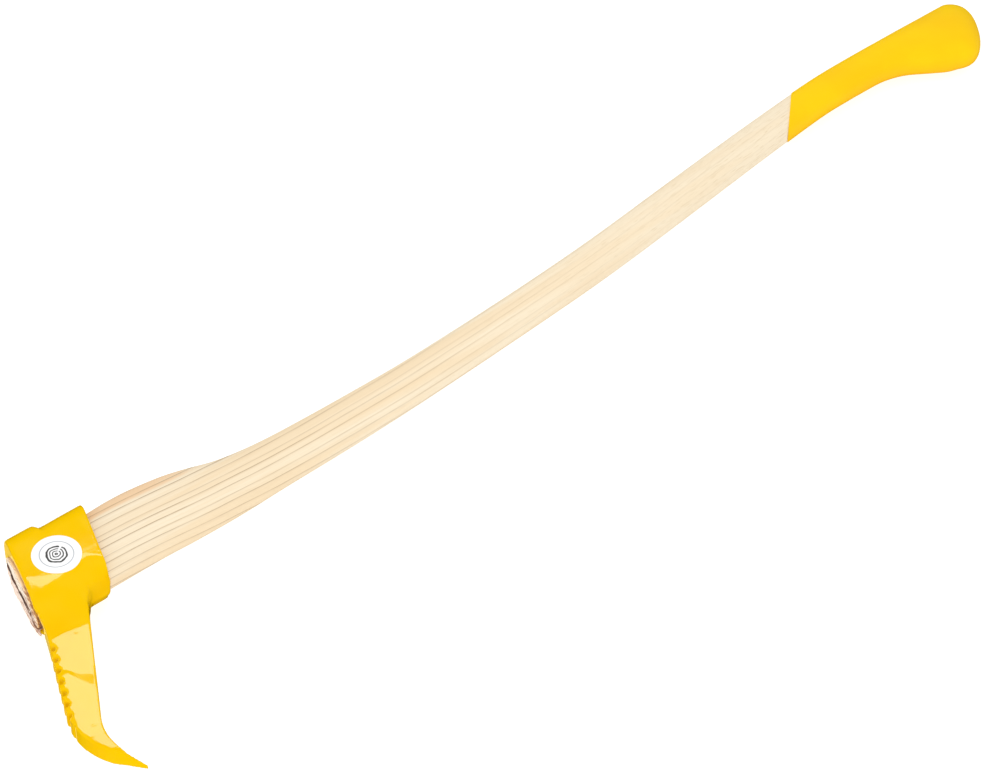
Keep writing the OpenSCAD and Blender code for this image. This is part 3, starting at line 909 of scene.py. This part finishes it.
def makeGrip():
    material, tree, shader, where = newMaterial("gripLacquer", IOR=1.42, Specular_IOR_Level=0.12)
    coat = placeGroup(tree, thickCoat, where, Ripple=lacquer["ripple"], Peel=lacquer["peel"])
    color = mixColors(tree, coat["Mottle"], lacquer["color"], lacquer["deep"])
    # painted shade: the lower side is coloured deeper
    low = spread(tree, split(tree, where)["Z"], *lacquer["paintedShadeAt"], 1, 0)
    joinTo(tree, mixColors(tree, low, color, lacquer["low"]), shader.inputs["Base Color"])
    joinTo(tree, spread(tree, coat["Mottle"], 0, 1, *lacquer["roughness"], "LINEAR"), shader.inputs["Roughness"])
    bumped(tree, shader, coat["Height"], *lacquer["bump"])
    bm = foursidedCopy("grip_coat")
    keepEdges(bm)
    piece = newPiece("dippedGrip", bm, material)
    subdivided(piece)
    place(piece, "grip_lacquer", "grip_coat")


makeGrip()
print("grip made")


# label: printed film with plain growth rings

film = {
    "white": rgb(255, 255, 255), "ink": rgb(62, 60, 58), "greyInk": rgb(186, 190, 196),
    "middle": (-0.0002, 0.0006), "radius": 0.01975, "thickness": 0.0002,
    "segments": 96, "rows": 24, "laidFrom": 0.06, "ring": 0.0134, "ringWidth": 0.00028,
    # growth rings: scale and size of their waves, bark, its soft edges, and the gap inside it
    "waves": (150.0, 0.003), "bark": (0.0074, 0.0088), "barkEdges": (0.0001, 0.0002), "gap": (0.0012, 0.001),
    "growth": 0.00235, "line": 0.42, "lineAt": 0.35, "lineEdge": 0.03,
    "crackTurn": math.radians(-35), "crackOpens": 0.11, "crackEdge": (-0.00005, 0.0001),
    "crackFrom": (0.0008, 0.0012),
}


def makeFilm():
    material, tree, shader, where = newMaterial("labelFilm", Roughness=0.38, Coat_Weight=0.3, Coat_Roughness=0.15)
    middleX, middleY = film["middle"]
    centred = stretched(tree, where, (1, 1, 0), shift=(-middleX, -middleY, 0))
    length = addNode(tree, "ShaderNodeVectorMath", operation="LENGTH")
    joinTo(tree, centred, length.inputs[0])
    radius = length.outputs["Value"]
    ringOff = calculate(tree, "ABSOLUTE", subtract(tree, radius, film["ring"]))
    ring = spread(tree, ringOff, film["ringWidth"], film["ringWidth"] * 2, 1, 0)
    # the sawn end of a log: bark, growth rings out of round and one drying crack
    scale, size = film["waves"]
    wobble = multiply(tree, subtract(tree, noiseOn(tree, centred, scale, 1.0), 0.5), size)
    uneven = add(tree, radius, wobble)
    (barkIn, barkOut), (edgeIn, edgeOut), (gapFrom, gapTo) = film["bark"], film["barkEdges"], film["gap"]
    inBark = multiply(tree, spread(tree, uneven, barkIn - edgeIn, barkIn, 0, 1),
                      spread(tree, uneven, barkOut, barkOut + edgeOut, 1, 0))
    part = calculate(tree, "FRACT", calculate(tree, "DIVIDE", uneven, film["growth"]))
    offStripe = calculate(tree, "ABSOLUTE", subtract(tree, part, film["lineAt"]))
    half, edge = film["line"] / 2, film["lineEdge"]
    stripe = spread(tree, offStripe, half - edge, half + edge, 1, 0)
    inside = spread(tree, uneven, barkIn - gapFrom, barkIn - gapTo, 1, 0)
    turned = split(tree, stretched(tree, centred, (1, 1, 1), turn=(0, 0, film["crackTurn"])))
    width = multiply(tree, turned["X"], film["crackOpens"])
    crackOff = subtract(tree, calculate(tree, "ABSOLUTE", turned["Y"]), width)
    crack = multiply(tree, spread(tree, crackOff, *film["crackEdge"], 1, 0),
                     spread(tree, turned["X"], *film["crackFrom"], 0, 1))
    log = calculate(tree, "MAXIMUM", inBark, multiply(tree, stripe, inside))
    color = mixColors(tree, ring, film["white"], film["greyInk"])
    color = mixColors(tree, multiply(tree, log, subtract(tree, 1.0, crack)), color, film["ink"])
    joinTo(tree, color, shader.inputs["Base Color"])
    bumped(tree, shader, noiseOn(tree, where, 130.0), 0.1, 0.0004)
    return material


def makeLabel():
    # a thin disc, laid on the enamel so that it bends over the crease with it
    radius, rows = film["radius"], film["rows"]
    bm = bmesh.new()
    bmesh.ops.create_circle(bm, cap_ends=True, segments=film["segments"], radius=radius)
    for k in range(rows):
        height = radius * (2 * (k + 0.5) / rows - 1)
        bmesh.ops.bisect_plane(bm, geom=bm.verts[:] + bm.edges[:] + bm.faces[:], dist=1e-6,
                               plane_co=(0, height, 0), plane_no=(0, 1, 0))
    bmesh.ops.triangulate(bm, faces=bm.faces[:])
    bmesh.ops.subdivide_edges(bm, edges=bm.edges[:], cuts=1)
    bmesh.ops.translate(bm, verts=bm.verts[:], vec=(*film["middle"], film["laidFrom"]))
    for vert in bm.verts:
        vert.co.z = headSurface.ray_cast(vert.co, Vector((0, 0, -1)))[0].z
    top = bmesh.ops.extrude_face_region(bm, geom=bm.faces[:])["geom"]
    topVerts = [g for g in top if isinstance(g, bmesh.types.BMVert)]
    bmesh.ops.translate(bm, verts=topVerts, vec=(0, 0, film["thickness"]))
    bmesh.ops.recalc_face_normals(bm, faces=bm.faces[:])
    keepEdges(bm, 40)
    place(newPiece("roundLabel", bm, makeFilm()), "label_film", "label")


makeLabel()
print("label made")


# stage, light and camera

stage = {
    "floor": (0.4, 0.4, 0.4, 1), "floorWarm": (0.39, 0.39, 0.385, 1), "size": 8.0,
    # the tool rests on the cheek's edge and on the knob, so the floor leans a little
    "touch": 0.045, "knob": 0.985, "knobClear": 0.0043, "gap": 0.0002,
    "world": 1.0, "glow": 0.8,
}


def makeFloor():
    material, tree, shader, where = newMaterial("paleFloor", Roughness=0.7, Emission_Color=(1, 1, 1, 1),
                                                Emission_Strength=stage["glow"])
    tone = spread(tree, noiseOn(tree, where, 3.0, 2.0), 0.3, 0.7, 0, 1)
    joinTo(tree, mixColors(tree, tone, stage["floor"], stage["floorWarm"]), shader.inputs["Base Color"])
    bm = bmesh.new()
    bmesh.ops.create_grid(bm, x_segments=2, y_segments=2, size=stage["size"])
    slope = stage["knobClear"] / (stage["knob"] - stage["touch"])
    for vert in bm.verts:
        vert.co.z = (vert.co.x - stage["touch"]) * slope - stage["gap"]
    floor = newPiece("floor", bm, material)
    floor.visible_glossy = False  # the enamel shows the lamps and nothing else


lamps = {
    # name: place, what it looks at, width, height, brightness of its face
    "keySheet": ((0.45, 0.50, 1.0), (0.45, 0.50, 0.0), 0.6, 0.40, 3.4),
    "frontFill": ((-0.5, -2.4, 1.0), (0.3, 0.0, 0.0), 3.0, 1.6, 1.1),
    "leftFill": ((-2.4, 0.2, 0.9), (0.2, 0.0, 0.0), 1.6, 1.2, 1.5),
}


def makeLights():
    for name, (where, target, width, height, brightness) in lamps.items():
        light = bpy.data.lights.new(name, "AREA")
        light.shape = "RECTANGLE"
        light.size, light.size_y = width, height
        light.energy = brightness * math.pi * width * height
        lamp = bpy.data.objects.new(name, light)
        bpy.context.collection.objects.link(lamp)
        lamp.location = where
        lamp.rotation_euler = (Vector(target) - Vector(where)).to_track_quat("-Z", "Y").to_euler()
        lamp.visible_glossy = name == "keySheet"
    world = bpy.data.worlds.new("studio")
    world.use_nodes = True
    background = world.node_tree.nodes["Background"]
    background.inputs["Color"].default_value = (1, 1, 1, 1)
    background.inputs["Strength"].default_value = stage["world"]
    world.cycles_visibility.glossy = False
    bpy.context.scene.world = world


shot = {
    "place": (-1.02715, -1.8244, 2.3639), "azimuth": -38.6625, "elevation": 45.8827,
    "focal": 4000, "width": 985, "sensor": 36.0, "clip": (0.1, 30),
}


def makeCamera():
    lens = bpy.data.cameras.new("photoCamera")
    lens.sensor_width = shot["sensor"]
    lens.lens = shot["focal"] / shot["width"] * shot["sensor"]
    lens.clip_start, lens.clip_end = shot["clip"]
    eye = bpy.data.objects.new("photoCamera", lens)
    bpy.context.collection.objects.link(eye)
    around, above = math.radians(shot["azimuth"]), math.radians(shot["elevation"])
    back = Vector((math.sin(around) * math.cos(above), -math.cos(around) * math.cos(above), math.sin(above)))
    eye.location = shot["place"]
    eye.rotation_euler = (-back).to_track_quat("-Z", "Y").to_euler()
    bpy.context.scene.camera = eye


makeFloor()
makeLights()
makeCamera()
bpy.context.scene.view_settings.view_transform = "Standard"
print("stage made")
